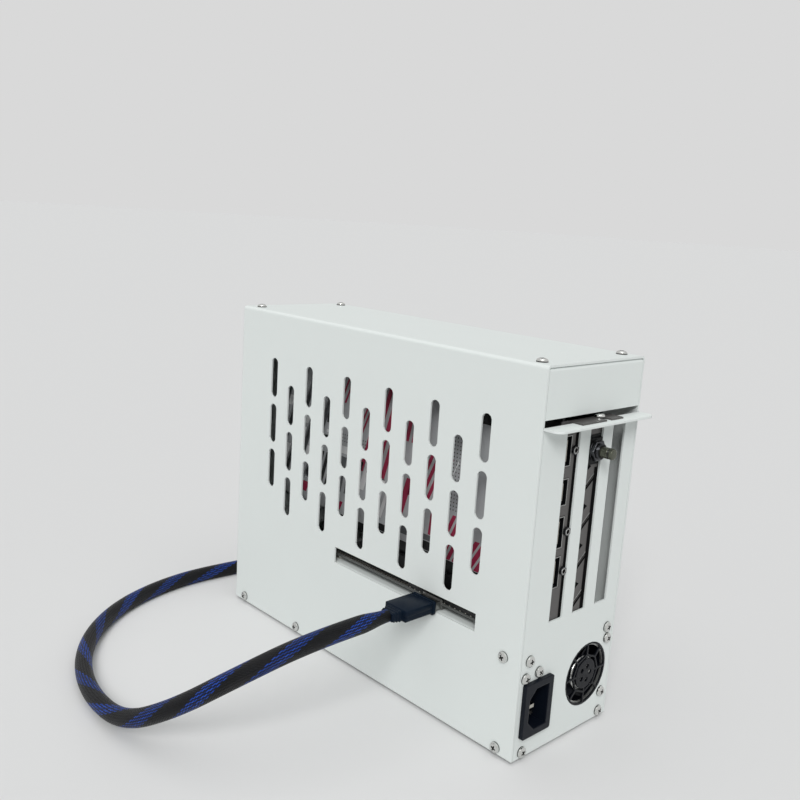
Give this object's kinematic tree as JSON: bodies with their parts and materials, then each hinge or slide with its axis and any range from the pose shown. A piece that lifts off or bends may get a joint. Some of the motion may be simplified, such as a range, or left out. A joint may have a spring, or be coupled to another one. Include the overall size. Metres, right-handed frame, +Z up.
{
  "type": "external graphics card enclosure",
  "caption": "White folded-steel enclosure with slotted sides, holding a graphics card on a dock board above a slim power supply, with a braided link cable plugged into its side",
  "frame": {"origin": "bottom centre of the enclosure, on the floor that its feet stand on, the free cable left out", "axes": "+X from the front panel to the rear panel with the slots, -Y out of the side with the link cable, +Z up"},
  "size_m": [0.3186, 0.2416, 0.2153],
  "materials": {
    "white_sheet": "white satin powder coat",
    "screw_steel": "bright plated steel",
    "foot_rubber": "matt black",
    "psu_steel": "plain zinc-plated sheet",
    "inlet_plastic": "slate black moulding",
    "contact_metal": "tinned brass",
    "fan_plastic": "black moulding",
    "board_laminate": "black solder mask",
    "transformer_tape": "amber tape",
    "capacitor_can": "rolled cans",
    "socket_plastic": "black moulding",
    "backplate_paint": "grey paint with crimson and white print",
    "fin_metal": "bare",
    "shroud_plastic": "dark grey moulding",
    "bracket_steel": "dark satin plating",
    "port_metal": "stamped shells",
    "button_plastic": "dark olive black",
    "plug_plastic": "slate black moulding",
    "cable_braid": "black and blue braid"
  },
  "bodies": {
    "case": {"cover": "white_sheet", "base_plate": "white_sheet", "feet": "foot_rubber", "mid_shelf": "white_sheet", "front_panel": "white_sheet", "rear_panel": "white_sheet", "rear_top_strip": "white_sheet", "cover_top_screws": "screw_steel", "cover_side_screws": "screw_steel", "rear_panel_screws": "screw_steel", "front_panel_screws": "screw_steel", "psu_case": "psu_steel", "psu_lid": "psu_steel", "psu_inlet": "inlet_plastic", "psu_inlet_pins": "contact_metal", "psu_fan_guard": "fan_plastic", "psu_fan_frame": "fan_plastic", "psu_board": "board_laminate", "psu_transformer": "transformer_tape", "psu_capacitors": "capacitor_can", "psu_screws": "screw_steel", "dock_board": "board_laminate", "board_standoffs": "contact_metal", "card_slot": "socket_plastic", "link_port": "port_metal", "board_power_socket": "socket_plastic", "board_capacitors": "capacitor_can", "card_board": "board_laminate", "card_backplate": "backplate_paint", "card_heatsink": "fin_metal", "card_shroud": "shroud_plastic", "card_fan_bases": "fan_plastic", "card_power_socket": "socket_plastic", "card_bracket": "bracket_steel", "bracket_tab_screw": "screw_steel", "video_ports": "port_metal", "bracket_screws": "screw_steel", "switch_holder": "socket_plastic", "switch_body": "socket_plastic", "switch_washer": "screw_steel", "switch_nut": "screw_steel", "link_plug": "plug_plastic", "link_plug_nose": "port_metal", "link_plug_sleeve": "cable_braid", "link_cable": "cable_braid", "far_plug_sleeve": "cable_braid", "far_plug": "plug_plastic", "far_plug_nose": "port_metal"},
    "psu_rotor": {"psu_fan_rotor": "fan_plastic"},
    "front_rotor": {"card_fan_1": "fan_plastic"},
    "rear_rotor": {"card_fan_2": "fan_plastic"},
    "button": {"switch_cap": "button_plastic"}
  },
  "joints": [
    {"name": "psu_fan_spin", "type": "hinge", "parent": "case", "child": "psu_rotor", "pos_m": [0.114, 0.0188, 0.03345], "axis": [1, 0, 0], "continuous": true},
    {"name": "card_fan_1_spin", "type": "hinge", "parent": "case", "child": "front_rotor", "pos_m": [-0.05675, 0.0076, 0.13675], "axis": [0, 1, 0], "continuous": true},
    {"name": "card_fan_2_spin", "type": "hinge", "parent": "case", "child": "rear_rotor", "pos_m": [0.04325, 0.0076, 0.13675], "axis": [0, 1, 0], "continuous": true},
    {"name": "power_button_press", "type": "slide", "parent": "case", "child": "button", "axis": [-1, 0, 0], "range_m": [0, 0.002], "stiffness_N_per_m": 800}
  ]
}
